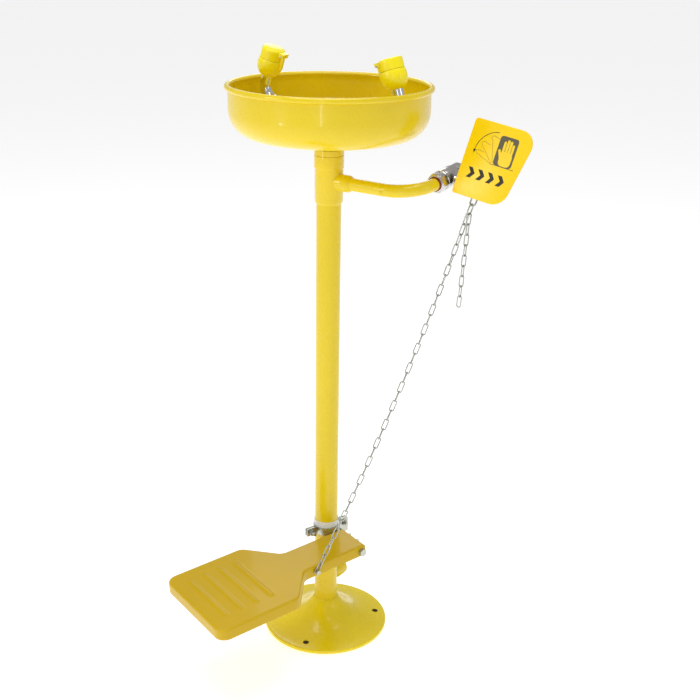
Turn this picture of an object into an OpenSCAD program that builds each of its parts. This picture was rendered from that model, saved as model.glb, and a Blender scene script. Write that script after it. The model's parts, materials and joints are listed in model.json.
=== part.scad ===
// Pedestal emergency eyewash station with foot treadle. Millimetres, Z up, front is -Y.
// Origin: centre of the floor flange's underside.

/* [Stanchion and flange] */
// outside diameter of the stanchion pipe
pipe_od = 42.4; // [42.2:0.1:42.6]
// wall of the stanchion pipe
pipe_wall = 3.2; // [2.6:0.1:4]
// radius of the floor flange
flange_r = 116.4; // [110:0.1:125]
// thickness of the flange at its edge
flange_edge = 7.4; // [5:0.1:10]
// pitch circle of the three floor bolts
bolt_pcd = 195; // [180:1:205]
// radius of a floor bolt hole
bolt_hole_r = 5.5; // [4.5:0.1:7]
// height of the waste outlet's axis
waste_z = 98; // [90:1:130]

/* [Bowl and spray heads] */
// height of the rim bead's centre
rim_z = 1015.7; // [1010:0.1:1020]
// outside radius of the bowl's wall
bowl_r = 165.8; // [160:0.1:170]
// thickness of the bowl's sheet
bowl_t = 1.6; // [1.2:0.1:3]
// radius of the rim bead's section
bead_r = 4.8; // [3:0.1:6]
// height of the spray tubes' level run
tube_z = 981.5; // [970:0.5:990]
// inward lean of the spray heads
head_tilt = 18.8; // [10:0.1:25]

/* [Branch and valve] */
// height of the side branch
branch_z = 860.7; // [850:0.1:870]
// straight length of the branch from the stanchion's axis
branch_l = 110.5; // [90:0.1:130]
// radius of the branch's bend
branch_bend = 59.7; // [50:0.1:80]
// rise of the branch after its bend
branch_rise = 7.4; // [0:0.1:12]
// dip of the valve stem to the right
stem_dip = 8.59; // [0:0.01:12]
// backward lean of the push plate
plate_lean = 18; // [10:0.1:30]

/* [Treadle] */
// turn of the treadle about the stanchion, seen from above
treadle_yaw = -18; // [-25:0.1:0]
// toe-down lean of the treadle at rest
treadle_lean = 3.8; // [0:0.1:6]
// height of the treadle's top beside the stanchion
treadle_z = 203.4; // [190:0.1:220]

/* [Hidden] */
$fn = 48;
po = pipe_od/2;
pin = po - pipe_wall;
// valve frame: origin at the pipe's end, z along the valve, x along the stem
v_d = [0, cos(branch_rise), sin(branch_rise)];
v_o = [branch_l + branch_bend, branch_bend*v_d[1], branch_z + branch_bend*v_d[2]];
v_s = [cos(stem_dip), sin(stem_dip)*sin(branch_rise), -sin(stem_dip)*cos(branch_rise)];
v_y = cross(v_d, v_s);
ball_s = 40;
v_b = v_o + ball_s*v_d;
// plate frame: x along the stem, y up the plate, z out of its front face
function unit(v) = v/norm(v);
p_u0 = unit([0, 0, 1] - v_s*v_s[2]);
p_b0 = cross(p_u0, v_s);
p_up = p_u0*cos(plate_lean) + p_b0*sin(plate_lean);
p_n = cross(v_s, p_up);
plate_q = 15;
// lever hole, in the stem's frame: back and down from the stem's axis
lug_e = 50.2;
lug_r = 24;
lug_a = 66;
lug_c = v_b + v_s*lug_e + p_b0*lug_r*sin(lug_a) - p_u0*lug_r*cos(lug_a);
// treadle frame
function rz(v, a) = [v[0]*cos(a) - v[1]*sin(a), v[0]*sin(a) + v[1]*cos(a), v[2]];
function rx(v, a) = [v[0], v[1]*cos(a) - v[2]*sin(a), v[1]*sin(a) + v[2]*cos(a)];
function tw(v) = rz([0, 0, treadle_z] + rx(v, treadle_lean), treadle_yaw);
function tv(v) = rz(rx(v, treadle_lean), treadle_yaw);
pivot = [0, 11, -12];
cbolt = [99.7, -89.5, -10.5];
// chain
wire = 2.2;
link_w = 9.6;
link_in = 18.2;
end_r = (link_w - wire)/2;
half = (link_in - 2*(end_r - wire/2))/2;
ring_wire = 3;
ring_r = 5;
ring_half = 8;
joint_wire = 2.4;
joint_r = 6.6;
joint_half = 3;
c_low = tw(cbolt);
t0 = unit(lug_c - c_low);
ring_top = lug_c - 2.8*t0;
ring_c = ring_top - t0*(ring_r + ring_half);
ring_low = ring_c - t0*(ring_half + ring_r);
joint_c = ring_low + t0*(ring_wire/2 + joint_wire/2 + 0.1) - t0*(joint_half + joint_r);
joint_low = joint_c - t0*(joint_half + joint_r);
main_top = joint_low + t0*(joint_wire/2 + wire/2 + 0.15) - t0*(half + end_r);
main_bot = c_low + t0*half;
main_n = 2*ceil((norm(main_top - main_bot)/18.1 + 1)/2);
sag = 11;
down = unit([0, 0, -1] - t0*(-t0[2]));
// turn of the links about the chain's line, none at its two ends
function turn(u) = -36*min(1, u/0.16)*min(1, (1 - u)/0.16);
function about(v, t, a) = v*cos(a) + cross(t, v)*sin(a) + t*(t*v)*(1 - cos(a));
function mpt(u) = main_bot + (main_top - main_bot)*u + down*sag*4*u*(1 - u);
// steps in the order of the link's place, ends held straight
t_side = unit(cross(t0, v_s));
tail_dir = unit(unit([0, 0, -1])*1.0 + [-0.05, -0.04, 0]);
tail_n = 9;
tail_start = joint_low + t0*(joint_wire/2 + wire/2 + 0.15 + 1.1) + t_side*2.9*(t_side[1] > 0 ? 1 : -1);

yellow = [0.86, 0.78, 0.13];
zinc = [0.62, 0.64, 0.6];

module frame(o, x, y, z) multmatrix([[x[0], y[0], z[0], o[0]], [x[1], y[1], z[1], o[1]], [x[2], y[2], z[2], o[2]], [0, 0, 0, 1]]) children();
module valve_frame() frame(v_o, v_s, v_y, v_d) children();
module plate_frame() frame(v_b, v_s, p_up, p_n) children();
module stem_frame() frame(v_b, p_u0, p_b0, v_s) children();
module treadle_frame() rotate([0, 0, treadle_yaw]) translate([0, 0, treadle_z]) rotate([treadle_lean, 0, 0]) children();
module tube(ro, ri, h) difference() { cylinder(r = ro, h = h); translate([0, 0, -1]) cylinder(r = ri, h = h + 2); }

// one long oval link lying in its x-z plane, z along its length
module link(er, hl, w) {
  translate([0, 0, hl]) rotate([90, 0, 0]) rotate_extrude(angle = 180) translate([er, 0]) circle(r = w/2, $fn = 16);
  translate([0, 0, -hl]) rotate([-90, 0, 0]) rotate_extrude(angle = 180) translate([er, 0]) circle(r = w/2, $fn = 16);
  for (s = [-1, 1]) translate([s*er, 0, -hl]) cylinder(r = w/2, h = 2*hl, $fn = 16);
}
// places a link at c, its length along t, its width along the part of w across t
module place(c, t, w) { x = unit(w - t*(w*t)); frame(c, x, cross(t, x), t) children(); }

module floor_flange() color(yellow) difference() {
  rotate_extrude() polygon([[0, 0], [114.4, 0], [flange_r, 2], [flange_r, flange_edge - 2.2], [flange_r - 0.8, flange_edge - 0.7], [flange_r - 2.6, flange_edge],
    [106, 8.1], [96, 9.6], [86, 11.7], [76, 14.5], [67, 17.8], [59, 21.6], [51.5, 26.2], [44.5, 31.6], [38, 37.6], [32, 44.2], [27, 50.4], [24.4, 53.6], [po, 54], [po, 6], [0, 6]]);
  for (a = [45.5, 165.5, 285.5]) rotate([0, 0, a]) translate([bolt_pcd/2, 0, -1]) cylinder(r = bolt_hole_r, h = 40);
}
module stanchion_pipe() color(yellow) difference() {
  translate([0, 0, 6]) cylinder(r = po, h = 832 - 6);
  translate([0, 0, 5]) cylinder(r = pin, h = 900);
  translate([0, 0, waste_z]) rotate([-90, 0, 0]) cylinder(r = 13.2, h = 40);
}
module waste_outlet() color(yellow) difference() {
  translate([0, 0, waste_z]) rotate([-90, 0, 0]) union() { cylinder(r = 15.6, h = 36); translate([0, 0, 22]) cylinder(r1 = 15.6, r2 = 17, h = 4); translate([0, 0, 26]) cylinder(r = 17, h = 19); }
  translate([0, 0, waste_z]) rotate([-90, 0, 0]) cylinder(r = 13.2, h = 60);
  translate([0, 0, waste_z - 40]) cylinder(r = po, h = 80);
}
module tee_body() color(yellow) difference() {
  union() {
    translate([0, 0, 822]) cylinder(r1 = po + 0.4, r2 = 24, h = 5);
    translate([0, 0, 827]) cylinder(r = 24, h = 56);
    translate([0, 0, 882]) cylinder(r1 = 24, r2 = 25, h = 1.5);
    translate([0, 0, 883.5]) cylinder(r = 25, h = 20.5);
    translate([0, 0, branch_z]) rotate([0, 90, 0]) cylinder(r = 14.2, h = 42);
    translate([42, 0, branch_z]) rotate([0, 90, 0]) cylinder(r1 = 14.2, r2 = 11.2, h = 6);
  }
  translate([0, 0, 820]) cylinder(r = po, h = 12);
  translate([0, 0, 831]) cylinder(r = 18, h = 60);
  translate([0, 0, 885]) cylinder(r = po, h = 30);
  translate([0, 0, branch_z]) rotate([0, 90, 0]) cylinder(r = 10.65, h = 60);
}
module neck_collar() color(yellow) difference() {
  union() {
    translate([0, 0, 886]) cylinder(r = po, h = 20);
    translate([0, 0, 904]) cylinder(r = 24.2, h = 0.9);
    translate([0, 0, 904.9]) cylinder(r = 25, h = 9.3);
    translate([0, 0, 910]) cylinder(r = 18.9, h = 12);
  }
  translate([0, 0, 880]) cylinder(r = 17, h = 60);
}
function arc(c, r, a0, a1, n) = [for (i = [0:n]) [c[0] + r*cos(a0 + (a1 - a0)*i/n), c[1] + r*sin(a0 + (a1 - a0)*i/n)]];
module bowl() color(yellow) {
  rotate_extrude($fn = 96) polygon(concat([[19, 914.4], [27, 914.6]], arc([120.3, 979.7], bowl_r - 120.3, -79, 0, 12), [[bowl_r, rim_z - 2], [bowl_r - bowl_t, rim_z - 2]],
    arc([120.3, 979.7], bowl_r - bowl_t - 120.3, 0, -79, 12), [[27, 916.2], [19, 916]]));
  rotate_extrude($fn = 96) translate([bowl_r + 0.7, rim_z]) circle(r = bead_r, $fn = 24);
}
module bowl_locknut() color([0.75, 0.75, 0.75]) difference() {
  translate([0, 0, 916.3]) cylinder(r = 26, h = 5, $fn = 6);
  translate([0, 0, 915]) cylinder(r = 18.95, h = 10);
}
module drain_strainer() color([0.8, 0.8, 0.8]) difference() {
  union() { translate([0, 0, 922.1]) cylinder(r = 21, h = 1.5); translate([0, 0, 917]) tube(16.9, 15.4, 5.2); }
  translate([0, 0, 900]) cylinder(r = 10.75, h = 40);
  for (k = [0:11]) rotate([0, 0, k*30]) translate([13.4, 0, 900]) cylinder(r = 1.7, h = 40, $fn = 24);
}
module supply_riser() color([0.75, 0.7, 0.55]) difference() {
  union() {
    translate([0, 0, 848]) cylinder(r = 10.65, h = 961 - 848);
    translate([0, 0, branch_z]) rotate([0, 90, 0]) cylinder(r = 10.6, h = 29.8);
  }
  translate([0, 0, 851.5]) cylinder(r = 8, h = 120);
  translate([0, 0, branch_z]) rotate([0, 90, 0]) cylinder(r = 8, h = 40);
}
module spray_manifold() color([0.8, 0.82, 0.84]) difference() {
  union() {
    translate([0, 0, 955]) cylinder(r = 15, h = 38);
    translate([0, 0, 993]) cylinder(r1 = 15, r2 = 12, h = 3);
    translate([-24, 0, tube_z]) rotate([0, 90, 0]) cylinder(r = 12, h = 48);
  }
  translate([0, 0, 954]) cylinder(r = 10.65, h = 7);
  translate([0, 0, 960]) cylinder(r = 8, h = 28);
  translate([-30, 0, tube_z]) rotate([0, 90, 0]) cylinder(r = 8, h = 60);
  for (s = [0, 180]) rotate([0, 0, s]) translate([14, 0, tube_z]) rotate([0, 90, 0]) cylinder(r = 9.5, h = 20);
}
module spray_tube_shape() difference() {
  spray_tube_solid(9.5, 0);
  spray_tube_solid(8, 1);
}
module spray_tube_solid(r, e) {
  translate([14 - e, 0, tube_z]) rotate([0, 90, 0]) cylinder(r = r, h = 112.4 - 14 + e);
  translate([112, 0, tube_z + 24.5]) rotate([90, 0, 0]) rotate([0, 0, -90]) rotate_extrude(angle = 90 + head_tilt) translate([24.5, 0]) circle(r = r - 0.06);
  translate([112 + 24.5*cos(head_tilt), 0, tube_z + 24.5 + 24.5*sin(head_tilt)]) rotate([0, -head_tilt, 0]) translate([0, 0, -0.4]) cylinder(r = r, h = 18.4 + e);
}
module spray_tube_right() color([0.85, 0.86, 0.88]) spray_tube_shape();
module spray_tube_left() color([0.85, 0.86, 0.88]) mirror([1, 0, 0]) spray_tube_shape();
head_o = [112 + 24.5*cos(head_tilt) - 9.5*sin(head_tilt), 0, tube_z + 24.5 + 24.5*sin(head_tilt) + 9.5*cos(head_tilt)];
module head_frame() translate(head_o) rotate([0, -head_tilt, 0]) children();
pin_x = -23.2;
pin_z = 42.2;
module head_body_shape() head_frame() difference() {
  union() {
    rotate_extrude() polygon([[9.52, 0], [11, 0], [14.4, 2.4], [17.2, 5.6], [19.3, 9.4], [20.7, 13.6], [21.3, 18], [21.2, 23], [20.6, 27.6], [20.1, 29.4], [19.4, 30],
      [17, 30], [17, 12], [9.52, 12]]);
    translate([-25.6, -2.4, 20]) cube([7.4, 4.8, 22.2]);
    translate([pin_x, 2.4, pin_z]) rotate([90, 0, 0]) cylinder(r = 2.4, h = 4.8);
  }
  translate([pin_x, 10, pin_z]) rotate([90, 0, 0]) cylinder(r = 1.5, h = 20);
  translate([0, 0, 12.2]) cylinder(r = 17, h = 40);
}
module head_body_right() color([0.97, 0.88, 0.05]) head_body_shape();
module head_body_left() color([0.97, 0.88, 0.05]) mirror([1, 0, 0]) head_body_shape();
module spray_disc_shape() head_frame() difference() {
  union() { translate([0, 0, 24]) cylinder(r = 17, h = 3); translate([0, 0, 27]) cylinder(r1 = 8, r2 = 6, h = 2); translate([0, 0, 12.05]) tube(16.9, 14.5, 12); }
  for (k = [0:9]) rotate([0, 0, k*36]) translate([11, 0, 20]) cylinder(r = 1.2, h = 20, $fn = 16);
  for (k = [0:4]) rotate([0, 0, k*72 + 18]) translate([4, 0, 20]) cylinder(r = 1.1, h = 20, $fn = 16);
}
module spray_disc_right() color([0.9, 0.9, 0.88]) spray_disc_shape();
module spray_disc_left() color([0.9, 0.9, 0.88]) mirror([1, 0, 0]) spray_disc_shape();
module hinge_pin_shape() head_frame() translate([pin_x, 8.6, pin_z]) rotate([90, 0, 0]) cylinder(r = 1.5, h = 17.2);
module hinge_pin_right() color([0.5, 0.5, 0.5]) hinge_pin_shape();
module hinge_pin_left() color([0.5, 0.5, 0.5]) mirror([1, 0, 0]) hinge_pin_shape();
module cap_shape() head_frame() difference() {
  union() {
    rotate_extrude() polygon([[0, 44.6], [16.4, 44.6], [16.4, 30.5], [19.6, 30.5], [19.5, 44.4], [19.2, 46.2], [18.3, 47.6], [16.8, 48.3], [0, 48.9]]);
    for (s = [-1, 1]) translate([-26.6, s*5.1 - 2.2, 40.4]) cube([11, 4.4, 5]);
    translate([-27.4, -7.3, 44.9]) cube([12, 14.6, 2.2]);
  }
  translate([pin_x, 20, pin_z]) rotate([90, 0, 0]) cylinder(r = 1.55, h = 40);
  translate([-40, -2.8, 20]) cube([22.2, 5.6, 24.85]);
}
module cap_right() color([0.98, 0.9, 0.08]) cap_shape();
module cap_left() color([0.98, 0.9, 0.08]) mirror([1, 0, 0]) cap_shape();

module branch_solid(r, e) {
  translate([30 - e, 0, branch_z]) rotate([0, 90, 0]) cylinder(r = r, h = branch_l - 29.5 + e);
  translate([branch_l, 0, branch_z]) rotate([branch_rise, 0, 0]) translate([0, branch_bend, 0]) rotate([0, 0, -90]) rotate_extrude(angle = 90) translate([branch_bend, 0]) circle(r = r);
  translate(v_o - 0.6*v_d) rotate([branch_rise - 90, 0, 0]) cylinder(r = r, h = 14.6 + e);
}
module branch_pipe() color(yellow) difference() { branch_solid(10.65, 0); branch_solid(8, 1); }
module pipe_seal() color([0.35, 0.03, 0.03]) valve_frame() translate([0, 0, -0.6]) tube(12.4, 10.65, 2.4);
module valve_end_cap() color([0.72, 0.71, 0.7]) valve_frame() difference() {
  union() {
    intersection() { translate([0, 0, 1.8]) cylinder(r = 17.6, h = 17.2, $fn = 6); translate([0, 0, 1.8]) cylinder(r1 = 13.6, r2 = 31, h = 17.2*1.02); cylinder(r = 16.9, h = 30); }
    translate([0, 0, 19]) cylinder(r = 12.8, h = 9);
  }
  translate([0, 0, 1]) cylinder(r = 10.65, h = 13);
  translate([0, 0, 1]) cylinder(r = 7.5, h = 40);
}
module valve_body() color([0.72, 0.71, 0.7]) valve_frame() difference() {
  union() {
    translate([0, 0, 19.6]) cylinder(r1 = 16.3, r2 = 16.9, h = 1.2);
    translate([0, 0, 20.8]) cylinder(r = 16.9, h = 3);
    translate([0, 0, 23.8]) cylinder(r1 = 15.6, r2 = 16.8, h = 4);
    translate([0, 0, 27.8]) cylinder(r = 16.8, h = 25);
    translate([0, 0, 52.8]) cylinder(r1 = 16.8, r2 = 13.6, h = 9);
    intersection() { translate([0, 0, 61]) cylinder(r = 16.2, h = 17, $fn = 6); translate([0, 0, 58]) cylinder(r1 = 26, r2 = 14.6, h = 20); cylinder(r = 15.4, h = 90); }
    translate([0, 0, ball_s]) rotate([0, 90, 0]) cylinder(r = 8.2, h = 20);
  }
  translate([0, 0, 19]) cylinder(r = 12.8, h = 9);
  translate([0, 0, 27.9]) cylinder(r = 12.4, h = 24.4);
  translate([0, 0, 50]) cylinder(r = 7.5, h = 40);
  translate([0, 0, 64]) cylinder(r = 9.3, h = 20);
  translate([8, 0, ball_s]) rotate([0, 90, 0]) cylinder(r = 4.05, h = 14);
  translate([14.4, 0, ball_s]) rotate([0, 90, 0]) cylinder(r = 6, h = 14);
}
module valve_seat(z0, z1) difference() {
  translate([0, 0, z0]) cylinder(r = 12.35, h = z1 - z0);
  translate([0, 0, z0 - 1]) cylinder(r = 7.5, h = 30);
  translate([0, 0, ball_s]) sphere(r = 11.03);
}
module valve_seat_in() color([0.95, 0.95, 0.93]) valve_frame() valve_seat(28.05, 33.5);
module valve_seat_out() color([0.95, 0.95, 0.93]) valve_frame() valve_seat(46.5, 52.2);
module valve_ball() color([0.85, 0.86, 0.88]) valve_frame() difference() {
  translate([0, 0, ball_s]) sphere(r = 11);
  translate([0, -20, ball_s]) rotate([-90, 0, 0]) cylinder(r = 7.5, h = 40);
  translate([8.4, -2.1, ball_s - 12]) cube([6, 4.2, 24]);
}
module valve_stem() color([0.78, 0.78, 0.78]) valve_frame() translate([0, 0, ball_s]) {
  translate([8.5, -2, -3.2]) cube([3, 4, 6.4]);
  translate([11.4, 0, 0]) rotate([0, 90, 0]) cylinder(r = 4, h = 27);
}
module stem_packing() color([0.5, 0.05, 0.05]) valve_frame() translate([14.6, 0, ball_s]) rotate([0, 90, 0]) tube(5.95, 4.05, 5.2);
module packing_nut() color([0.2, 0.2, 0.2]) valve_frame() translate([20.1, 0, ball_s]) rotate([0, 90, 0]) difference() { cylinder(r = 7.6, h = 5, $fn = 6); translate([0, 0, -1]) cylinder(r = 4.05, h = 8); }
module stem_nut() color([0.6, 0.6, 0.6]) valve_frame() translate([34.6, 0, ball_s]) rotate([0, 90, 0]) difference() { cylinder(r = 6.9, h = 4.6, $fn = 6); translate([0, 0, -1]) cylinder(r = 4, h = 8); }
// lever: a hub plate across the stem, its lug to the back and its flange carrying the plate
module handle_lever() color([0.2, 0.2, 0.2]) difference() {
  union() {
    stem_frame() translate([0, 0, 29.9]) cylinder(r = 11, h = 4.4);
    plate_frame() translate([29.9, -15, -6]) cube([4.4, 62, plate_q + 5.9]);
    plate_frame() translate([29.9, -15, plate_q - 4.1]) cube([46, 62, 4]);
    plate_frame() translate([48, -10, -24]) cube([4.4, 15, plate_q + 22]);
    stem_frame() rotate([0, 0, 180 - lug_a]) translate([lug_r, 0, 48]) cylinder(r = 8, h = 4.4);
  }
  stem_frame() translate([0, 0, 20]) cylinder(r = 4, h = 26);
  stem_frame() rotate([0, 0, 180 - lug_a]) translate([lug_r, 0, 40]) cylinder(r = 5.6, h = 20);
  plate_frame() for (y = [-5, 35]) translate([60, y, 0]) cylinder(r = 2.5, h = 60);
}
plate_pts = concat(arc([24.6 + 6, 106.4 - 6], 6, 180, 90, 6), arc([110.2, 82.4], 24, 90, -13, 12), arc([93.2, 8.6], 28, -13, -90, 10), [[28, -19.5], [24.6, -16.2]]);
module push_plate() color([0.97, 0.87, 0.05]) plate_frame() difference() {
  union() {
    translate([0, 0, plate_q - 0.1]) linear_extrude(2.4) polygon(plate_pts);
    translate([0, 0, plate_q + 2.3]) linear_extrude(0.7) polygon([for (q = plate_pts) [q[0] + (79 - q[0])*0.014, q[1] + (43 - q[1])*0.014]]);
  }
  for (y = [-5, 35]) translate([60, y, 0]) cylinder(r = 2.5, h = 60);
}
// label in low relief: a plate, a hand on it, an arc with its arrow and four bold chevrons
module label_2d() {
  for (k = [0:3]) translate([40 + k*18, 11]) polygon([[0, 0], [5.5, 0], [12.5, 8.6], [5.5, 17.2], [0, 17.2], [7, 8.6]]);
}
module bar(a, b, w) { d = b - a; translate(a) rotate(atan2(d[1], d[0])) translate([0, -w/2]) square([norm(d), w]); }
module label_arc() for (i = [0:9]) bar([76 + 33*cos(100 + i*9), 56 + 33*sin(100 + i*9)], [76 + 33*cos(109 + i*9), 56 + 33*sin(109 + i*9)], 1);
module plate_label() color([0.1, 0.1, 0.1]) plate_frame() translate([0, 0, plate_q + 3]) linear_extrude(0.25) {
  label_2d();
  label_arc();
  polygon([[40.4, 55.8], [45.6, 55.8], [43, 50.6]]);
  difference() { translate([76, 38]) square([34, 52]); translate([81, 42]) square([26, 44.6]); translate([104, 34]) square([10, 18]); }
  bar([84, 56], [84, 74], 1.2); bar([90, 60], [90, 80], 1.2); bar([96, 60], [96, 80], 1.2);
}
module plate_screws() color([0.6, 0.6, 0.6]) plate_frame() for (y = [-5, 35]) translate([60, y, 0]) {
  translate([0, 0, plate_q - 8.6]) cylinder(r = 4.6, h = 4.4, $fn = 6);
  translate([0, 0, plate_q - 9]) cylinder(r = 2.5, h = 11.9);
}
module hook_ring() color(zinc) place(ring_c, t0, v_s) link(ring_r, ring_half, ring_wire);
module joint_link() color(zinc) place(joint_c, t0, cross(t0, v_s)) link(joint_r, joint_half, joint_wire);
x_bolt = tv([1, 0, 0]);
module main_chain() color(zinc) for (i = [0:main_n - 1]) {
  u = i/(main_n - 1);
  t = unit(mpt(min(u + 0.01, 1)) - mpt(max(u - 0.01, 0)));
  place(mpt(u), t, about(i%2 == 0 ? cross(t, x_bolt) : x_bolt, t, turn(u))) link(end_r, half, wire);
}
module tail_chain() color(zinc) for (i = [0:tail_n - 1])
  place(tail_start + tail_dir*(half + end_r + i*18.05), tail_dir, i%2 == 0 ? v_s : cross(tail_dir, v_s)) link(end_r, half, wire);

// treadle outline, toe at -y
t_x0 = 25.2; t_x1 = 96.9; f_x0 = -37; f_x1 = 159; toe = -319.5;
function mir(p) = [for (i = [len(p) - 1:-1:0]) [122.05 - p[i][0], p[i][1]]];
side = concat([[t_x1, 19.5]], arc([t_x1 + 22, -104], 22, 180, 222, 5), arc([f_x1 - 20, -174], 20, 52, 0, 6), arc([f_x1 - 20, toe + 20], 20, 0, -90, 7));
outline = concat(side, mir(side));
function nrm(a, b) = let (d = unit(b - a)) [d[1], -d[0]];
function inset(p, k) = let (n = len(p)) [for (i = [0:n - 1]) let (a = nrm(p[(i + n - 1)%n], p[i]), b = nrm(p[i], p[(i + 1)%n]), m = unit(a + b)) p[i] + m*k/(m*a)];
module treadle() color([0.82, 0.67, 0.13]) treadle_frame() difference() {
  union() {
    translate([0, 0, -20.5]) linear_extrude(17.5) polygon(outline);
    translate([0, 0, -3]) linear_extrude(1.6) polygon(inset(outline, 0.7));
    translate([0, 0, -1.4]) linear_extrude(1.4) polygon(inset(outline, 2.1));
    for (k = [0:3]) translate([0, -197 - k*30, 0]) rotate([0, 90, 0]) translate([1, 0, -3]) cylinder(r = 2.6, h = 123, $fn = 24);
  }
  translate([0, 0, -30]) linear_extrude(27.4) polygon(inset(outline, 2.5));
  translate([t_x0 + 2.5, 10, -30]) cube([t_x1 - t_x0 - 5, 20, 27.4]);
  translate([0, pivot[1], pivot[2]]) rotate([0, 90, 0]) cylinder(r = 4.05, h = 150);
  translate([60, cbolt[1], cbolt[2]]) rotate([0, 90, 0]) cylinder(r = 2.1, h = 60);
}
module chain_bolt() color(zinc) treadle_frame() translate([0, cbolt[1], cbolt[2]]) rotate([0, 90, 0]) {
  translate([0, 0, 88]) cylinder(r = 2.1, h = 15.2);
  translate([0, 0, 102.6]) cylinder(r = 4.7, h = 3.2, $fn = 6);
}
module chain_nut() color(zinc) treadle_frame() translate([90.2, cbolt[1], cbolt[2]]) rotate([0, 90, 0]) difference() { cylinder(r = 4.7, h = 4.1, $fn = 6); translate([0, 0, -1]) cylinder(r = 2.1, h = 8); }
module pivot_bolt() color(zinc) treadle_frame() translate([0, pivot[1], pivot[2]]) rotate([0, 90, 0]) {
  translate([0, 0, 25.4]) cylinder(r = 4, h = 73);
  translate([0, 0, 97]) cylinder(r = 6.6, h = 1.2);
  translate([0, 0, 98.2]) cylinder(r = 7.2, h = 4.6, $fn = 6);
}
module pivot_nut() color(zinc) treadle_frame() translate([31, pivot[1], pivot[2]]) rotate([0, 90, 0]) difference() { cylinder(r = 7.4, h = 6, $fn = 6); translate([0, 0, -1]) cylinder(r = 4, h = 8); }
module yaw() rotate([0, 0, treadle_yaw]) children();
module clamp_sleeve() color([0.92, 0.92, 0.9]) yaw() translate([0, 0, 196]) tube(22.6, po, 27);
module clamp_half_shape() difference() {
  union() {
    translate([0, 0, 197]) cylinder(r = 24.6, h = 15);
    for (s = [-1, 1]) translate([1.2, s*34 - 11, 197]) cube([2.8, 22, 15]);
  }
  translate([0, 0, 190]) cylinder(r = 22.6, h = 40);
  translate([-60, -60, 190]) cube([61.2, 120, 40]);
  for (s = [-1, 1]) translate([-20, s*36, 204.5]) rotate([0, 90, 0]) cylinder(r = 3, h = 40);
}
module clamp_half_arm() color(zinc) yaw() clamp_half_shape();
module clamp_half_back() color(zinc) yaw() rotate([0, 0, 180]) clamp_half_shape();
module clamp_bolts() color(zinc) yaw() for (s = [-1, 1]) translate([0, s*36, 204.5]) rotate([0, -90, 0]) {
  translate([0, 0, 4]) cylinder(r = 5.9, h = 4, $fn = 6);
  translate([0, 0, -17]) cylinder(r = 3, h = 21.5);
}
module clamp_nuts() color(zinc) yaw() for (s = [-1, 1]) translate([s > 0 ? 6.7 : 4.2, s*36, 204.5]) rotate([0, 90, 0]) difference() { union() { cylinder(r = 6.6, h = 1.2); translate([0, 0, 1.1]) cylinder(r = 5.9, h = 5, $fn = 6); } translate([0, 0, -1]) cylinder(r = 3, h = 9); }
// bracket: a strap from the rear lug, behind the treadle's heel, to two ears on the pivot bolt
module pivot_bracket() color(zinc) difference() {
  union() {
    yaw() translate([4.1, 25.5, 184]) cube([2.5, 20, 28]);
    yaw() translate([4.1, 25.5, 180]) cube([60.4, 2.5, 14]);
    treadle_frame() for (x = [38, 62]) translate([x, 3, -20]) cube([2.5, 25.5, 13.2]);
  }
  yaw() translate([-20, 36, 204.5]) rotate([0, 90, 0]) cylinder(r = 3, h = 60);
  treadle_frame() translate([0, pivot[1], pivot[2]]) rotate([0, 90, 0]) cylinder(r = 4, h = 150);
  yaw() translate([0, 28, 150]) cube([100, 40, 34]);
}

floor_flange();
stanchion_pipe();
waste_outlet();
tee_body();
neck_collar();
bowl();
bowl_locknut();
drain_strainer();
supply_riser();
spray_manifold();
spray_tube_left();
spray_tube_right();
head_body_left();
head_body_right();
spray_disc_left();
spray_disc_right();
hinge_pin_left();
hinge_pin_right();
cap_left();
cap_right();
branch_pipe();
pipe_seal();
valve_end_cap();
valve_body();
valve_seat_in();
valve_seat_out();
valve_ball();
valve_stem();
stem_packing();
packing_nut();
stem_nut();
handle_lever();
push_plate();
plate_label();
plate_screws();
hook_ring();
joint_link();
main_chain();
tail_chain();
treadle();
chain_bolt();
chain_nut();
pivot_bolt();
pivot_nut();
clamp_sleeve();
clamp_half_arm();
clamp_half_back();
clamp_bolts();
clamp_nuts();
pivot_bracket();
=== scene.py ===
import json
import math
import bpy
import bmesh
from mathutils import Matrix, Vector, geometry

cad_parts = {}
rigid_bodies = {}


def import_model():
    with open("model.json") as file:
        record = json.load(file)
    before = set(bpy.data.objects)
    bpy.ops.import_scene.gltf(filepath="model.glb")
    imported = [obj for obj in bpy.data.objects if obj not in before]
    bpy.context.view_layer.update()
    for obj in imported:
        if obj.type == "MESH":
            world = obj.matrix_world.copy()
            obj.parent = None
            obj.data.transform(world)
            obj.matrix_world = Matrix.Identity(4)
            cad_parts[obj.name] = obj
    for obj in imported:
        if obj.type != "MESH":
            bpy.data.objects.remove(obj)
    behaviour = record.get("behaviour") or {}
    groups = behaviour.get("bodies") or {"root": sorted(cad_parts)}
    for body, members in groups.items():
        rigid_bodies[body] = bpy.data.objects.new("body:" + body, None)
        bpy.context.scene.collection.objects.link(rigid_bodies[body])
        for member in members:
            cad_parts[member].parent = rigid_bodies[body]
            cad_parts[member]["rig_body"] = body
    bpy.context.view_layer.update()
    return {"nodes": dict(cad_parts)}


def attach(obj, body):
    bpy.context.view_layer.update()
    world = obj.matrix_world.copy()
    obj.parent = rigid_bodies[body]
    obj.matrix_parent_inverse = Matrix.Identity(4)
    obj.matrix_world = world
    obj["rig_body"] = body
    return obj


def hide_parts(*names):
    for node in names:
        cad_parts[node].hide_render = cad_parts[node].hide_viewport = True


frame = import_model()
nodes = frame["nodes"]
scene = bpy.context.scene
rad = math.radians
C = lambda a: math.cos(rad(a))
S = lambda a: math.sin(rad(a))
MM = 0.001

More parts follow.
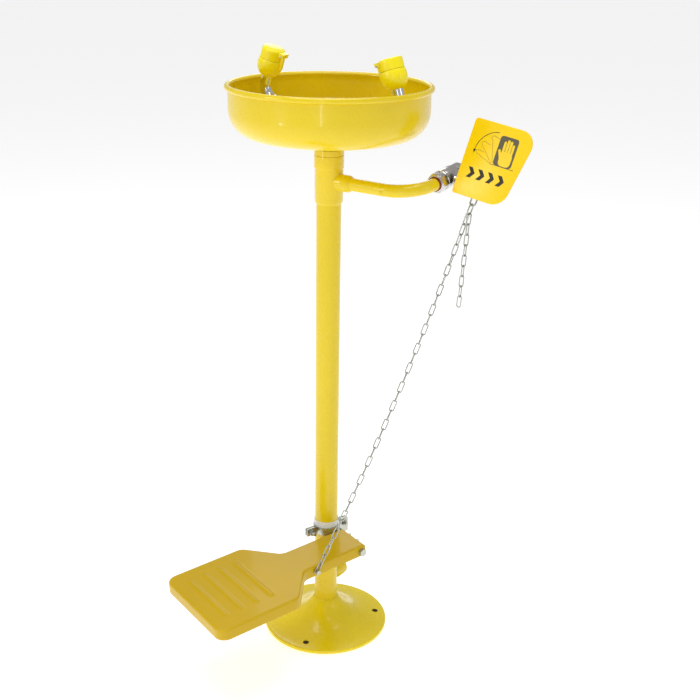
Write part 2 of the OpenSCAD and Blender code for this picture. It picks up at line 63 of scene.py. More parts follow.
# ---------------------------------------------------------------- camera
az, pitch, roll, dist, side_off, zc, f_px = 36.0, 20.70, 0.892, 1.8575, 0.0396, 1.2603, 1122.4
R = Vector((C(az), S(az), 0))
A = Vector((-S(az), C(az), 0))
Z = Vector((0, 0, 1))
fwd = A * C(pitch) - Z * S(pitch)
up_c = A * S(pitch) + Z * C(pitch)
xc = R * C(roll) + up_c * S(roll)
yc = up_c * C(roll) - R * S(roll)
cam_data = bpy.data.cameras.new("camera")
cam = bpy.data.objects.new("camera", cam_data)
scene.collection.objects.link(cam)
loc = -A * dist + R * side_off + Z * zc
cam.matrix_world = Matrix(((xc.x, yc.x, -fwd.x, loc.x), (xc.y, yc.y, -fwd.y, loc.y), (xc.z, yc.z, -fwd.z, loc.z), (0, 0, 0, 1)))
cam_data.sensor_width = 36.0
cam_data.lens = f_px / 700.0 * 36.0
cam_data.clip_start = 0.05
scene.camera = cam

# ---------------------------------------------------------------- node helpers
def lin(r, g, b):
    f = lambda c: c / 255 / 12.92 if c / 255 <= 0.04045 else ((c / 255 + 0.055) / 1.055) ** 2.4
    return (f(r), f(g), f(b), 1.0)


class Mat:
    def __init__(self, name):
        self.m = bpy.data.materials.new(name)
        self.m.use_nodes = True
        self.t = self.m.node_tree
        self.b = self.t.nodes["Principled BSDF"]
        self.tc = self.t.nodes.new("ShaderNodeTexCoord")

    def link(self, a, b):
        self.t.links.new(a, b)

    def noise(self, scale, detail=2.0, rough=0.5, stretch=None, dist=0.0):
        n = self.t.nodes.new("ShaderNodeTexNoise")
        n.inputs["Scale"].default_value = scale
        n.inputs["Detail"].default_value = detail
        n.inputs["Roughness"].default_value = rough
        n.inputs["Distortion"].default_value = dist
        if stretch:
            mp = self.t.nodes.new("ShaderNodeMapping")
            mp.inputs["Scale"].default_value = stretch
            self.link(self.tc.outputs["Object"], mp.inputs["Vector"])
            self.link(mp.outputs["Vector"], n.inputs["Vector"])
        else:
            self.link(self.tc.outputs["Object"], n.inputs["Vector"])
        return n.outputs["Fac"]

    def ramp(self, fac, stops):
        r = self.t.nodes.new("ShaderNodeValToRGB")
        while len(r.color_ramp.elements) < len(stops):
            r.color_ramp.elements.new(0.5)
        for e, (p, c) in zip(r.color_ramp.elements, stops):
            e.position = p
            e.color = c
        self.link(fac, r.inputs["Fac"])
        return r.outputs["Color"]

    def grey(self, fac, a, b, lo=0.3, hi=0.7):
        r = self.t.nodes.new("ShaderNodeMapRange")
        r.inputs["From Min"].default_value = lo
        r.inputs["From Max"].default_value = hi
        r.inputs["To Min"].default_value = a
        r.inputs["To Max"].default_value = b
        self.link(fac, r.inputs["Value"])
        return r.outputs["Result"]

    def mix(self, fac, a, b):
        n = self.t.nodes.new("ShaderNodeMix")
        n.data_type = "RGBA"
        if isinstance(fac, float):
            n.inputs[0].default_value = fac
        else:
            self.link(fac, n.inputs[0])
        for sock, v in ((n.inputs[6], a), (n.inputs[7], b)):
            if isinstance(v, tuple):
                sock.default_value = v
            else:
                self.link(v, sock)
        return n.outputs[2]

    def bump(self, h, strength, distance, prev=None):
        n = self.t.nodes.new("ShaderNodeBump")
        n.inputs["Strength"].default_value = strength
        n.inputs["Distance"].default_value = distance
        self.link(h, n.inputs["Height"])
        if prev is not None:
            self.link(prev, n.inputs["Normal"])
        return n.outputs["Normal"]

    def point(self, lo, hi, a=0.0, b=1.0):
        g = self.t.nodes.new("ShaderNodeNewGeometry")
        return self.grey(g.outputs["Pointiness"], a, b, lo, hi)

    def set(self, **kw):
        for k, v in kw.items():
            s = self.b.inputs[k.replace("_", " ")]
            if hasattr(v, "is_output") or isinstance(v, bpy.types.NodeSocket):
                self.link(v, s)
            else:
                s.default_value = v
        return self


def scl(c, k):
    return (min(1, c[0] * k), min(1, c[1] * k), min(1, c[2] * k), 1.0)


def powder(name, base, peel=0.16, rough=(0.24, 0.34), coat=0.35, spec=0.38):
    m = Mat(name)
    broad = m.noise(7, 3, 0.6)
    c = m.ramp(broad, [(0.30, scl(base, 0.955)), (0.52, base), (0.75, scl(base, 1.03))])
    # tiny darker pinholes and specks in the coat
    speck = m.noise(520, 1, 0.4)
    c = m.mix(m.grey(speck, 0.0, 0.35, 0.70, 0.80), c, scl(base, 0.62))
    # the coat thins on the edges, and the hollows get a painted shade: concave spots are darkened where shade falls
    c = m.mix(m.point(0.56, 0.66, 0.0, 0.30), c, scl(base, 1.22))
    c = m.mix(m.point(0.47, 0.40, 0.0, 0.45), c, scl(base, 0.62))
    scuff = m.noise(46, 6, 0.72, dist=0.4)
    m.set(Base_Color=c, Roughness=m.grey(scuff, rough[0], rough[1], 0.35, 0.7), Specular_IOR_Level=spec, Coat_Weight=coat, Coat_Roughness=0.05, Coat_IOR=1.5)
    n1 = m.bump(m.noise(420, 2, 0.5), peel, 0.00018)
    n2 = m.bump(m.noise(20, 1, 0.5), 0.03, 0.0010, n1)
    m.set(Normal=n2, Coat_Normal=m.bump(m.noise(240, 1.5, 0.5), peel * 0.6, 0.0002))
    return m.m


def plastic(name, base, rough=(0.24, 0.34), grain=0.10, sss=0.05):
    m = Mat(name)
    c = m.ramp(m.noise(24, 3, 0.6, dist=1.2), [(0.3, scl(base, 0.97)), (0.6, base), (0.8, scl(base, 1.03))])
    # painted shade: concave hollows are darkened where shade falls
    c = m.mix(m.point(0.46, 0.38, 0.0, 0.4), c, scl(base, 0.70))
    m.set(Base_Color=c, Roughness=m.grey(m.noise(90, 5, 0.7), rough[0], rough[1], 0.35, 0.68), Subsurface_Weight=sss, Subsurface_Scale=0.004, IOR=1.5)
    m.b.inputs["Subsurface Radius"].default_value = (1.0, 0.7, 0.2)
    n1 = m.bump(m.noise(900, 2, 0.5), grain, 0.00012)
    m.set(Normal=m.bump(m.noise(45, 2, 0.5), 0.05, 0.0008, n1))
    return m.m


def metal(name, base, rough=(0.12, 0.2), streak=None, bump=0.08, spots=None, metallic=1.0, scale=60):
    m = Mat(name)
    c = m.ramp(m.noise(18, 4, 0.65, dist=0.6), [(0.3, scl(base, 0.88)), (0.55, base), (0.8, scl(base, 1.08))])
    if spots:
        c = m.mix(m.grey(m.noise(150, 4, 0.7), 0.0, 0.8, 0.52, 0.68), c, spots)
    # painted shade: concave hollows are darkened strongly where shade falls
    c = m.mix(m.point(0.47, 0.40, 0.0, 0.7), c, scl(base, 0.30))
    m.set(Base_Color=c, Metallic=metallic, Roughness=m.grey(m.noise(scale, 5, 0.7), rough[0], rough[1], 0.35, 0.68))
    h = m.noise(700, 3, 0.6, stretch=streak) if streak else m.noise(420, 3, 0.6)
    m.set(Normal=m.bump(h, bump, 0.0001, m.bump(m.noise(70, 2, 0.5), bump * 0.5, 0.0004)))
    return m.m


YEL = lin(233, 205, 6)
M_YEL = powder("powder_coat_yellow", YEL)
M_FLANGE = powder("powder_coat_flange", lin(244, 220, 12), peel=0.16)
M_TRE = powder("powder_coat_treadle", lin(207, 171, 4), peel=0.12, rough=(0.30, 0.40), coat=0.16, spec=0.22)
M_CAP = plastic("moulded_cap_yellow", lin(255, 236, 6))
M_PLATE = plastic("moulded_plate_yellow", lin(252, 212, 0), rough=(0.26, 0.36), grain=0.12)
M_CHROME = metal("chromed_tube", (0.80, 0.81, 0.83, 1), rough=(0.03, 0.09), bump=0.03)
M_NICKEL = metal("satin_nickel", (0.62, 0.59, 0.57, 1), rough=(0.20, 0.34), bump=0.10, streak=(1.0, 0.12, 1.0))
M_BRASS = metal("cast_brass", (0.66, 0.47, 0.20, 1), rough=(0.25, 0.45), bump=0.2)
M_ZINC = metal("zinc_plate", (0.50, 0.52, 0.47, 1), rough=(0.20, 0.40), bump=0.20, spots=(0.60, 0.58, 0.44, 1), scale=120)
M_CHAIN = metal("zinc_chain", (0.47, 0.49, 0.45, 1), rough=(0.18, 0.36), bump=0.22, spots=(0.30, 0.30, 0.26, 1), scale=160)
# painted shade: a near-black colour for the flange's bolt-hole walls, standing in for the shade inside the holes
M_HOLE_SHADE = metal("bolt_hole_painted_shade", (0.10, 0.085, 0.05, 1), rough=(0.5, 0.7), bump=0.5, metallic=0.4)
M_PTFE = plastic("white_ptfe", lin(236, 236, 232), sss=0.1)
M_SEAL = plastic("thread_sealant", lin(120, 14, 12), rough=(0.30, 0.5), grain=0.6, sss=0.0)
M_SLEEVE = plastic("white_rubber", lin(232, 233, 228), rough=(0.5, 0.66), grain=0.3)
M_BLACK = plastic("label_ink", lin(38, 35, 28), rough=(0.42, 0.55), grain=0.1, sss=0.0)
M_GREY = plastic("label_grey", lin(92, 86, 66), rough=(0.42, 0.55), grain=0.1, sss=0.0)
M_LEVER = powder("black_lever_coat", lin(30, 30, 30), rough=(0.35, 0.5), coat=0.2)

# ---------------------------------------------------------------- mesh helpers
def new_obj(name, bm, mat, body, repl=(), smooth=True, angle=35.0, bevel=0.0, segs=2):
    bmesh.ops.recalc_face_normals(bm, faces=bm.faces)
    me = bpy.data.meshes.new(name)
    bm.to_mesh(me)
    bm.free()
    o = bpy.data.objects.new(name, me)
    scene.collection.objects.link(o)
    finish_piece(o, mat, body, repl, smooth, angle, bevel, segs)
    return o


def finish_piece(o, mat, body, repl=(), smooth=True, angle=35.0, bevel=0.0, segs=2):
    me = o.data
    me.materials.clear()
    me.materials.append(mat)
    if smooth:
        for p in me.polygons:
            p.use_smooth = True
            p.material_index = 0
        me.set_sharp_from_angle(angle=rad(angle))
    if bevel:
        b = o.modifiers.new("edge", "BEVEL")
        b.width = bevel
        b.segments = segs
        b.limit_method = "ANGLE"
        b.angle_limit = rad(angle)
        b.harden_normals = True
        b.use_clamp_overlap = True
    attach(o, body)
    if repl:
        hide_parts(*repl)


def refined(node, mat, bevel=0.0, angle=32.0, segs=2, name=None):
    """A visual copy of a CAD node, with merged vertices, smooth shading and rounded edges."""
    src = nodes[node]
    bm = bmesh.new()
    bm.from_mesh(src.data)
    bmesh.ops.remove_doubles(bm, verts=bm.verts, dist=2e-6)
    bmesh.ops.dissolve_degenerate(bm, edges=bm.edges, dist=2e-6)
    bmesh.ops.dissolve_limit(bm, angle_limit=rad(0.6), verts=bm.verts, edges=bm.edges, delimit={"NORMAL"})
    o = new_obj(name or node + "_finish", bm, mat, src["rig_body"], (node,), True, angle, bevel, segs)
    return o


def lathe(name, prof, segs, mat, body, repl=(), M=None, closed=True, angle=40.0, keep=False):
    bm = bmesh.new()
    rings = []
    for r, z in prof:
        if r < 1e-7:
            rings.append([bm.verts.new((0, 0, z))])
        else:
            rings.append([bm.verts.new((r * math.cos(2 * math.pi * k / segs), r * math.sin(2 * math.pi * k / segs), z)) for k in range(segs)])
    n = len(prof)
    for i in range(n if closed else n - 1):
        a, b = rings[i], rings[(i + 1) % n]
        if len(a) == 1 and len(b) == 1:
            continue
        for k in range(segs):
            k2 = (k + 1) % segs
            if len(a) == 1:
                bm.faces.new((a[0], b[k2], b[k]))
            elif len(b) == 1:
                bm.faces.new((a[k], a[k2], b[0]))
            else:
                bm.faces.new((a[k], a[k2], b[k2], b[k]))
    if M is not None:
        bm.transform(M)
    if keep:
        return bm
    return new_obj(name, bm, mat, body, repl, True, angle)


def arc(cx, cy, r, a0, a1, n):
    return [(cx + r * C(a0 + (a1 - a0) * i / n), cy + r * S(a0 + (a1 - a0) * i / n)) for i in range(n + 1)]


def mm(pts):
    return [(p[0] * MM, p[1] * MM) for p in pts]


def smooth_path(pts, n):
    """Catmull-Rom through 2-D points."""
    out = []
    for i in range(len(pts) - 1):
        p0, p1, p2, p3 = pts[max(i - 1, 0)], pts[i], pts[i + 1], pts[min(i + 2, len(pts) - 1)]
        for k in range(n):
            t = k / n
            out.append(tuple(0.5 * ((2 * p1[j]) + (-p0[j] + p2[j]) * t + (2 * p0[j] - 5 * p1[j] + 4 * p2[j] - p3[j]) * t * t + (-p0[j] + 3 * p1[j] - 3 * p2[j] + p3[j]) * t ** 3) for j in (0, 1)))
    out.append(pts[-1])
    return out


# ---------------------------------------------------------------- frames, as in the CAD
def basis(o, x, y, z):
    return Matrix(((x.x, y.x, z.x, o.x), (x.y, y.y, z.y, o.y), (x.z, y.z, z.z, o.z), (0, 0, 0, 1)))


rise, dip, lean_p = 7.4, 8.59, 18.0
v_d = Vector((0, C(rise), S(rise)))
v_o = Vector((110.5 + 59.7, 59.7 * v_d.y, 860.7 + 59.7 * v_d.z)) * MM
v_s = Vector((C(dip), S(dip) * S(rise), -S(dip) * C(rise)))
v_y = v_d.cross(v_s)
v_b = v_o + v_d * 0.040
p_u0 = (Z - v_s * v_s.z).normalized()
p_b0 = p_u0.cross(v_s)
p_up = p_u0 * C(lean_p) + p_b0 * S(lean_p)
p_n = v_s.cross(p_up)
VALVE = basis(v_o, v_s, v_y, v_d)
PLATE = basis(v_b, v_s, p_up, p_n)
STEM = basis(v_b, p_u0, p_b0, v_s)
YAW = Matrix.Rotation(rad(-18.0), 4, "Z")
TREADLE = YAW @ Matrix.Translation((0, 0, 0.2034)) @ Matrix.Rotation(rad(3.8), 4, "X")

# ---------------------------------------------------------------- bowl
br, bt, rz_, bead = 165.8, 1.6, 1015.7, 4.8
outer = [(19.0, 914.4), (24.0, 914.5)] + arc(120.3, 979.7, br - 120.3, -79, 0, 26)
inner = arc(120.3, 979.7, br - bt - 120.3, 0, -79, 26)
# the rim's rolled bead, open a little at its lower inside
bc = (br + 0.7, rz_)
roll_out = arc(bc[0], bc[1], bead, -100, 182, 34)
prof = outer + [(br, 990), (br, 1005), (br, 1009.6)] + roll_out + [(br - bt, 1012.5), (br - bt, 1004), (br - bt, 990)] + inner + [(24.0, 916.1), (19.0, 916.0)]
lathe("bowl_shell", mm(prof), 224, M_YEL, "frame", ("bowl",))

# ---------------------------------------------------------------- floor flange, with its bolt holes
fp = [(114.6, 0.0), (115.9, 0.7), (116.4, 2.0), (116.4, 5.2), (116.1, 6.3), (115.2, 7.1), (113.8, 7.4)]
dome = smooth_path([(113.8, 7.4), (106, 8.1), (96, 9.6), (86, 11.7), (76, 14.5), (67, 17.8), (59, 21.6), (51.5, 26.2), (44.5, 31.6), (38, 37.6), (32, 44.2), (27, 50.2), (23.8, 53.6), (21.3, 55.4)], 3)
bm = lathe("x", mm(fp + dome[1:] + [(21.2, 8), (21.2, 0)]), 192, None, None, keep=True)
me = bpy.data.meshes.new("floor_flange_casting")
bmesh.ops.recalc_face_normals(bm, faces=bm.faces)
bm.to_mesh(me)
bm.free()
fl = bpy.data.objects.new("floor_flange_casting", me)
scene.collection.objects.link(fl)
bm = bmesh.new()
for a in (45.5, 165.5, 285.5):
    plug = lathe("x", mm([(0.0, -6.0), (5.5, -6.0), (5.5, 8.5), (6.4, 9.9), (12.0, 18.0), (0.0, 18.0)]), 40, None, None, M=Matrix.Rotation(rad(a), 4, "Z") @ Matrix.Translation((0.0975, 0, 0)), closed=False, keep=True)
    tmp = bpy.data.meshes.new("t")
    plug.to_mesh(tmp)
    plug.free()
    bm.from_mesh(tmp)
bmesh.ops.recalc_face_normals(bm, faces=bm.faces)
me2 = bpy.data.meshes.new("cut")
bm.to_mesh(me2)
bm.free()
cut = bpy.data.objects.new("cut", me2)
scene.collection.objects.link(cut)
mod = fl.modifiers.new("holes", "BOOLEAN")
mod.object = cut
mod.operation = "DIFFERENCE"
mod.solver = "EXACT"
dg = bpy.context.evaluated_depsgraph_get()
new_me = bpy.data.meshes.new_from_object(fl.evaluated_get(dg))
fl.modifiers.clear()
fl.data = new_me
bpy.data.objects.remove(cut)
finish_piece(fl, M_FLANGE, "frame", ("floor_flange",), True, 38)
# painted shade: the bolt-hole walls get the near-black shade colour
fl.data.materials.append(M_HOLE_SHADE)
for p in fl.data.polygons:
    for a in (45.5, 165.5, 285.5):
        d = math.hypot(p.center.x - 0.0975 * C(a), p.center.y - 0.0975 * S(a))
        if d < 0.0059 and abs(p.normal.z) < 0.5:
            p.material_index = 1


# ---------------------------------------------------------------- treadle
def unit2(a, b):
    d = (b[0] - a[0], b[1] - a[1])
    l = math.hypot(*d)
    return (d[0] / l, d[1] / l)


def inset(p, k):
    n = len(p)
    out = []
    for i in range(n):
        d1 = unit2(p[i - 1], p[i])
        d2 = unit2(p[i], p[(i + 1) % n])
        a = (d1[1], -d1[0])
        b = (d2[1], -d2[0])
        m = (a[0] + b[0], a[1] + b[1])
        l = math.hypot(*m)
        m = (m[0] / l, m[1] / l)
        q = m[0] * a[0] + m[1] * a[1]
        out.append((p[i][0] - m[0] * k / q, p[i][1] - m[1] * k / q))
    return out


def area2(p):
    return sum(p[i - 1][0] * p[i][1] - p[i][0] * p[i - 1][1] for i in range(len(p))) / 2


def resample(p, step):
    out = []
    for i in range(len(p)):
        a, b = p[i], p[(i + 1) % len(p)]
        l = math.hypot(b[0] - a[0], b[1] - a[1])
        n = max(1, round(l / step))
        out += [(a[0] + (b[0] - a[0]) * k / n, a[1] + (b[1] - a[1]) * k / n) for k in range(n)]
    return out


t_x0, t_x1, f_x0, f_x1, toe = 25.2, 96.9, -37.0, 159.0, -319.5
side = [(t_x1, 19.5)] + arc(t_x1 + 22, -104, 22, 180, 222, 10) + arc(f_x1 - 20, -174, 20, 52, 0, 12) + arc(f_x1 - 20, toe + 20, 20, 0, -90, 16)
outline = side + [(122.05 - x, y) for x, y in reversed(side)]
if area2(outline) < 0:
    outline.reverse()
outline = resample(outline, 6.0)


def rib_h(x, y):
    h = 0.0
    for k in range(4):
        yc_ = -197 - k * 30
        dx = max(-3.0 - x, 0.0, x - 120.0)
        d = math.hypot(dx, y - yc_)
        if d < 6.5:
            h = max(h, 1.6 * (0.5 + 0.5 * math.cos(math.pi * d / 6.5)) ** 0.8)
    return h


er = 3.2
inner_loop = inset(outline, er)
pts, edges = [Vector(p) for p in inner_loop], []
nl = len(pts)
edges = [(i, (i + 1) % nl) for i in range(nl)]


def in_poly(p, poly):
    c = False
    j = len(poly) - 1
    for i in range(len(poly)):
        if (poly[i][1] > p[1]) != (poly[j][1] > p[1]) and p[0] < (poly[j][0] - poly[i][0]) * (p[1] - poly[i][1]) / (poly[j][1] - poly[i][1]) + poly[i][0]:
            c = not c
        j = i
    return c


core = inset(outline, er + 1.4)
ys = []
y = toe + 3
while y < 18:
    ys.append(y)
    y += 1.25 if -302 < y < -182 else 5.0
for r_i, y in enumerate(ys):
    step = 4.0
    x = f_x0 + 3 + (r_i % 2) * step / 2
    while x < f_x1 - 3:
        fine = -302 < y < -182 and (abs(x + 3) < 9 or abs(x - 120) < 9)
        if in_poly((x, y), core):
            pts.append(Vector((x, y)))
        x += 1.5 if fine else step
vs, es, fs, *_ = geometry.delaunay_2d_cdt(pts, edges, [], 1, 1e-4)
bm = bmesh.new()
verts = [bm.verts.new((p.x * MM, p.y * MM, rib_h(p.x, p.y) * MM)) for p in vs]
for f in fs:
    try:
        bm.faces.new([verts[i] for i in f])
    except ValueError:
        pass
bm.verts.ensure_lookup_table()


def nearest(p):
    return min(range(len(vs)), key=lambda i: (vs[i].x - p[0]) ** 2 + (vs[i].y - p[1]) ** 2)


ring = [verts[nearest(p)] for p in inner_loop]
levels = [(er * (1 - S(a)), -er * (1 - C(a))) for a in (18, 36, 54, 72, 90)] + [(0.0, -7.0), (0.0, -12.0), (0.0, -16.0), (0.0, -19.6), (0.25, -20.5)]
heel = [p[1] > 19.2 for p in outline]
prev = ring
for ins, z in levels:
    lp = inset(outline, ins) if ins else outline
    cur = [bm.verts.new((p[0] * MM, p[1] * MM, z * MM)) for p in lp]
    for i in range(nl):
        j = (i + 1) % nl
        if z < -3.4 and heel[i] and heel[j]:
            continue
        bm.faces.new((prev[i], prev[j], cur[j], cur[i]))
    prev = cur
loose = [v for v in bm.verts if not v.link_faces]
bmesh.ops.delete(bm, geom=loose, context="VERTS")
bmesh.ops.recalc_face_normals(bm, faces=bm.faces)
up = sum(f.normal.z * f.calc_area() for f in bm.faces)
if up < 0:
    bmesh.ops.reverse_faces(bm, faces=bm.faces)
bm.transform(TREADLE)
me = bpy.data.meshes.new("treadle_pressing")
bm.to_mesh(me)
bm.free()
tr = bpy.data.objects.new("treadle_pressing", me)
scene.collection.objects.link(tr)
so = tr.modifiers.new("sheet", "SOLIDIFY")
so.thickness = 0.0025
so.offset = -1
finish_piece(tr, M_TRE, "treadle", ("treadle",), True, 50)

# ---------------------------------------------------------------- push plate and its label
plate_pts = arc(30.6, 100.4, 6, 180, 90, 8) + arc(110.2, 82.4, 24, 90, -13, 20) + arc(93.2, 8.6, 28, -13, -90, 18) + [(28.4, -19.5), (25.6, -18.6), (24.6, -16.2)]
if area2(plate_pts) < 0:
    plate_pts.reverse()
plate_pts = resample(plate_pts, 5)
lv = [(0.9, 14.9), (0.25, 15.15), (0.0, 15.6), (0.0, 17.0), (0.15, 17.5), (0.5, 17.85), (1.1, 18.0)]
bm = bmesh.new()
rings = []
for ins, z in lv:
    lp = inset(plate_pts, ins) if ins else plate_pts
    rings.append([bm.verts.new((p[0] * MM, p[1] * MM, z * MM)) for p in lp])
n = len(plate_pts)
for a, b in zip(rings, rings[1:]):
    for i in range(n):
        bm.faces.new((a[i], a[(i + 1) % n], b[(i + 1) % n], b[i]))
bm.faces.new(rings[-1])
bm.faces.new(list(reversed(rings[0])))
bm.transform(PLATE)
new_obj("push_plate_moulding", bm, M_PLATE, "handle", ("push_plate",), True, 60)


def solid2d(bm, p, z0, z1):
    if area2(p) < 0:
        p = list(reversed(p))
    lo = [bm.verts.new((q[0] * MM, q[1] * MM, z0 * MM)) for q in p]
    hi = [bm.verts.new((q[0] * MM, q[1] * MM, z1 * MM)) for q in p]
    n = len(p)
    for i in range(n):
        bm.faces.new((lo[i], lo[(i + 1) % n], hi[(i + 1) % n], hi[i]))
    bm.faces.new(hi)
    bm.faces.new(list(reversed(lo)))


def capsule(a, b, r, n=8, r2=None):
    r2 = r if r2 is None else r2
    t = math.degrees(math.atan2(b[1] - a[1], b[0] - a[0]))
    return arc(a[0], a[1], r, t + 90, t + 270, n) + arc(b[0], b[1], r2, t - 90, t + 90, n)


def stroke(bm, path, w, z0, z1):
    for a, b in zip(path, path[1:]):
        solid2d(bm, capsule(a, b, w / 2, 4), z0, z1)


def round_rect(x0, y0, x1, y1, r):
    return arc(x1 - r, y1 - r, r, 0, 90, 6) + arc(x0 + r, y1 - r, r, 90, 180, 6) + arc(x0 + r, y0 + r, r, 180, 270, 6) + arc(x1 - r, y0 + r, r, 270, 360, 6)


# four bold chevrons, an arc with its arrow
bm = bmesh.new()
for k in range(4):
    x = 40 + k * 18
    solid2d(bm, [(x, 11), (x + 7.5, 11), (x + 14, 19.6), (x + 7.5, 28.2), (x, 28.2), (x + 6.5, 19.6)], 17.9, 18.12)
stroke(bm, arc(78, 55, 38, 98, 178, 24), 1.0, 17.9, 18.10)
solid2d(bm, [(37.6, 57.0), (42.4, 57.0), (40.0, 50.6)], 17.9, 18.10)
bm.transform(PLATE)
new_obj("label_marks", bm, M_BLACK, "handle", ("plate_label",), False)
# a plate in grey, with two fainter outlines of where it swings to
bm = bmesh.new()
solid2d(bm, round_rect(78, 42, 111, 90, 5), 17.9, 18.10)
stroke(bm, [(74, 41.5), (116, 41.5)], 0.9, 17.9, 18.11)
bm.transform(PLATE)
new_obj("label_panel", bm, M_GREY, "handle", (), False)
bm = bmesh.new()
stroke(bm, [(77, 44), (66, 78), (62, 82), (66, 86), (77, 83)], 0.5, 17.9, 18.07)
stroke(bm, [(75, 43), (50, 67), (49, 71), (54, 73), (64, 70)], 0.5, 17.9, 18.07)
stroke(bm, [(74, 42), (45, 52), (43, 56), (48, 58), (58, 56)], 0.5, 17.9, 18.07)
bm.transform(PLATE)
new_obj("label_ghosts", bm, M_GREY, "handle", (), False)
# a plain hand laid on the panel
bm = bmesh.new()
solid2d(bm, round_rect(86, 42.6, 107.5, 66, 7), 17.9, 18.16)
for x, y1, r in ((89.0, 80.0, 2.1), (94.2, 83.5, 2.2), (99.4, 82.5, 2.2), (104.4, 78.0, 2.0)):
    solid2d(bm, capsule((x, 58), (x, y1), r, 8), 17.9, 18.17)
solid2d(bm, capsule((88.5, 54), (82.6, 66), 2.6, 8, 2.0), 17.9, 18.18)
bm.transform(PLATE)
new_obj("label_hand", bm, M_PLATE, "handle", (), False)

# ---------------------------------------------------------------- CAD pieces with their finish
simple = {
    "stanchion_pipe": (M_YEL, 0.0), "waste_outlet": (M_YEL, 0.5), "tee_body": (M_YEL, 0.5), "neck_collar": (M_YEL, 0.35), "branch_pipe": (M_YEL, 0.0),
    "bowl_locknut": (M_NICKEL, 0.4), "drain_strainer": (M_NICKEL, 0.25), "supply_riser": (M_BRASS, 0.2), "spray_manifold": (M_NICKEL, 0.5),
    "spray_tube_left": (M_CHROME, 0.0), "spray_tube_right": (M_CHROME, 0.0),
    "head_body_left": (M_CAP, 0.45), "head_body_right": (M_CAP, 0.45), "cap_left": (M_CAP, 0.5), "cap_right": (M_CAP, 0.5),
    "spray_disc_left": (M_PTFE, 0.15), "spray_disc_right": (M_PTFE, 0.15), "hinge_pin_left": (M_ZINC, 0.25), "hinge_pin_right": (M_ZINC, 0.25),
    "pipe_seal": (M_SEAL, 0.4), "valve_end_cap": (M_NICKEL, 0.3), "valve_body": (M_NICKEL, 0.35), "valve_seat_in": (M_PTFE, 0.1), "valve_seat_out": (M_PTFE, 0.1),
    "valve_ball": (M_CHROME, 0.1), "valve_stem": (M_NICKEL, 0.2), "stem_packing": (M_SEAL, 0.1), "packing_nut": (M_LEVER, 0.35), "stem_nut": (M_ZINC, 0.4),
    "handle_lever": (M_LEVER, 0.5), "plate_screws": (M_ZINC, 0.3), "hook_ring": (M_CHAIN, 0.0), "joint_link": (M_CHAIN, 0.0), "main_chain": (M_CHAIN, 0.0),
    "tail_chain": (M_CHAIN, 0.0), "chain_bolt": (M_ZINC, 0.35), "chain_nut": (M_ZINC, 0.3), "pivot_bolt": (M_ZINC, 0.4), "pivot_nut": (M_ZINC, 0.4),
    "clamp_sleeve": (M_SLEEVE, 0.5), "clamp_half_arm": (M_ZINC, 0.5), "clamp_half_back": (M_ZINC, 0.5), "clamp_bolts": (M_ZINC, 0.4), "clamp_nuts": (M_ZINC, 0.4),
    "pivot_bracket": (M_ZINC, 0.4),
}
for node, (mat, bev) in simple.items():
    refined(node, mat, bev * MM)


# ---------------------------------------------------------------- small real details
def helix(bm, M, r, z0, z1, pitch, h, n=20):
    """A rolled thread: a ridge of triangular section wound round a shank."""
    turns = (z1 - z0) / pitch
    steps = int(turns * n)
    prev = None
    for i in range(steps + 1):
        a = 2 * math.pi * i / n
        z = z0 + pitch * i / n
        k = min(1.0, i / n, (steps - i) / n)
        sec = [(r - 0.06, z - pitch * 0.42), (r + h * k, z), (r - 0.06, z + pitch * 0.42)]
        cur = [bm.verts.new(M @ Vector((q * math.cos(a) * MM, q * math.sin(a) * MM, zz * MM))) for q, zz in sec]
        if prev:
            for j in range(3):
                bm.faces.new((prev[j], prev[(j + 1) % 3], cur[(j + 1) % 3], cur[j]))
        prev = cur


bm = bmesh.new()
for s in (-1, 1):
    M = YAW @ Matrix.Translation((0, s * 0.036, 0.2045)) @ Matrix.Rotation(rad(-90), 4, "Y")
    helix(bm, M, 3.0, -16.6, -12.4 if s > 0 else -10.4, 1.0, 0.32)
new_obj("clamp_bolt_threads", bm, M_ZINC, "frame", (), True, 30)
bm = bmesh.new()
helix(bm, TREADLE @ Matrix.Translation((0, -0.0895, -0.0105)) @ Matrix.Rotation(rad(90), 4, "Y"), 2.4, 88.3, 90.0, 0.7, 0.22)
new_obj("chain_bolt_thread", bm, M_ZINC, "treadle", (), True, 30)

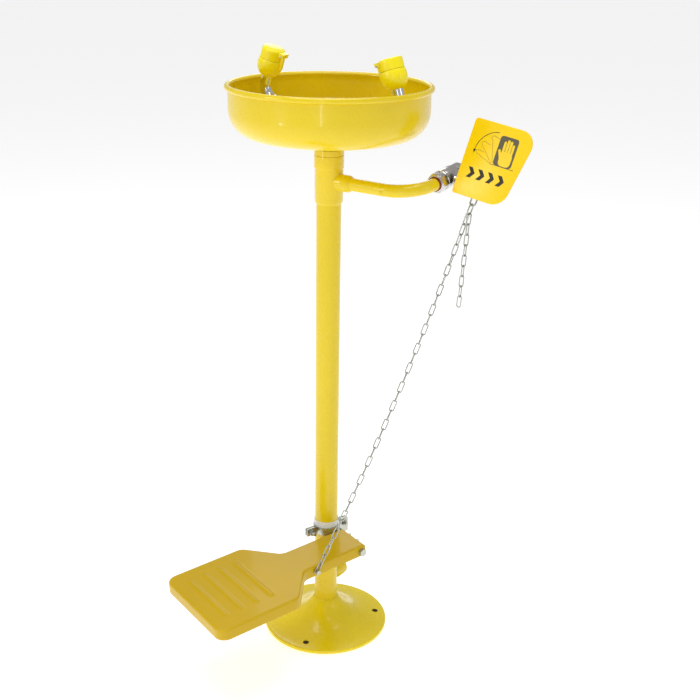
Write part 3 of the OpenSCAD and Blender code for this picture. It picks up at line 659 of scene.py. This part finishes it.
# ---------------------------------------------------------------- floor, world and lights
bm = bmesh.new()
bmesh.ops.create_grid(bm, x_segments=2, y_segments=2, size=60.0)
bmesh.ops.translate(bm, verts=bm.verts, vec=(0, 0, -0.0006))
me = bpy.data.meshes.new("floor")
bm.to_mesh(me)
bm.free()
floor = bpy.data.objects.new("floor", me)
scene.collection.objects.link(floor)
fm = Mat("studio_floor")
fm.set(Base_Color=(0.93, 0.93, 0.93, 1), Roughness=0.75, Specular_IOR_Level=0.1, Emission_Color=(1, 1, 1, 1), Emission_Strength=0.50)
me.materials.append(fm.m)

world = bpy.data.worlds.new("studio")
world.use_nodes = True
bg = world.node_tree.nodes["Background"]
bg.inputs["Color"].default_value = (1.0, 1.0, 1.0, 1)
bg.inputs["Strength"].default_value = 0.42
white = world.node_tree.nodes.new("ShaderNodeBackground")
white.inputs["Color"].default_value = (1, 1, 1, 1)
white.inputs["Strength"].default_value = 1.0
path = world.node_tree.nodes.new("ShaderNodeLightPath")
both = world.node_tree.nodes.new("ShaderNodeMixShader")
world.node_tree.links.new(path.outputs["Is Camera Ray"], both.inputs[0])
world.node_tree.links.new(bg.outputs[0], both.inputs[1])
world.node_tree.links.new(white.outputs[0], both.inputs[2])
world.node_tree.links.new(both.outputs[0], world.node_tree.nodes["World Output"].inputs["Surface"])
scene.world = world


def area(name, at, to, size, power, col=(1, 1, 1), size_y=None):
    d = bpy.data.lights.new(name, "AREA")
    d.energy = power
    d.color = col
    d.shape = "RECTANGLE"
    d.size = size
    d.size_y = size_y or size
    o = bpy.data.objects.new(name, d)
    scene.collection.objects.link(o)
    o.location = at
    o.rotation_euler = (Vector(to) - Vector(at)).to_track_quat("-Z", "Y").to_euler()
    return o


area("key", (-1.0, -2.1, 1.55), (0, 0, 0.70), 0.6, 9)
area("top", (0.1, -0.3, 4.0), (0, 0, 0.5), 2.5, 66)
area("strip", (0.90, -1.66, 1.15), (0, 0, 0.62), 0.10, 2.2, size_y=1.3)
area("rim_low", (-0.55, -1.9, 0.55), (0, 0, 0.15), 0.16, 1.1)
area("side", (2.3, 0.2, 1.5), (0, 0, 0.7), 0.8, 2.5)
area("back", (-1.5, 1.8, 1.9), (0, 0, 0.7), 0.8, 5)

scene.view_settings.view_transform = "Standard"
scene.view_settings.look = "None"
